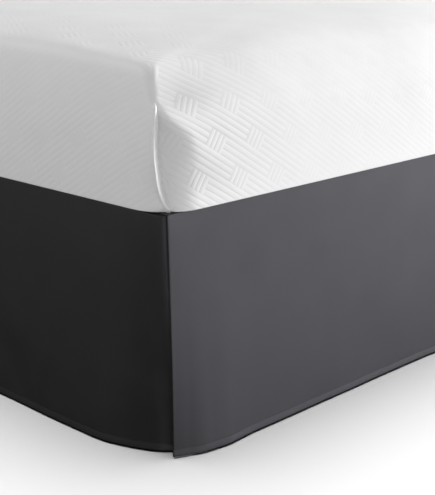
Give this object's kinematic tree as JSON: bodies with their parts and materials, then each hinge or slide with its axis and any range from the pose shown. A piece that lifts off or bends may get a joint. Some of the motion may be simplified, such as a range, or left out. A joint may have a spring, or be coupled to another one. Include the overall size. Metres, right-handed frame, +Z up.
{
  "type": "bed skirt on a box spring and mattress",
  "caption": "Tailored bed skirt with split corners, hung over a box spring under a mattress, on a plain steel frame.",
  "frame": {"origin": "on the floor under the middle of the bed, at the bottom centre of the whole part's box", "axes": "+Y to the head, along the bed's length; +X to the right as seen from the foot; +Z up"},
  "size_m": [1.5304, 2.04, 0.5887],
  "materials": {
    "skirt_cloth": "smooth brushed microfibre, matt with a soft sheen, charcoal grey",
    "mattress_cover": "white quilted knit with fine raised ribs in a basket weave",
    "box_spring_ticking": "plain woven ticking",
    "frame_steel": "black powder coat"
  },
  "bodies": {
    "root": {"skirt_deck": "skirt_cloth", "skirt_foot_panel": "skirt_cloth", "skirt_side_panel_left": "skirt_cloth", "skirt_side_panel_right": "skirt_cloth", "mattress": "mattress_cover", "box_spring": "box_spring_ticking", "frame_rail_left": "frame_steel", "frame_rail_right": "frame_steel", "frame_bar_head": "frame_steel", "frame_bar_middle": "frame_steel", "frame_bar_foot": "frame_steel", "frame_leg_left_head": "frame_steel", "frame_leg_left_middle": "frame_steel", "frame_leg_left_foot": "frame_steel", "frame_leg_right_head": "frame_steel", "frame_leg_right_middle": "frame_steel", "frame_leg_right_foot": "frame_steel"}
  },
  "joints": []
}
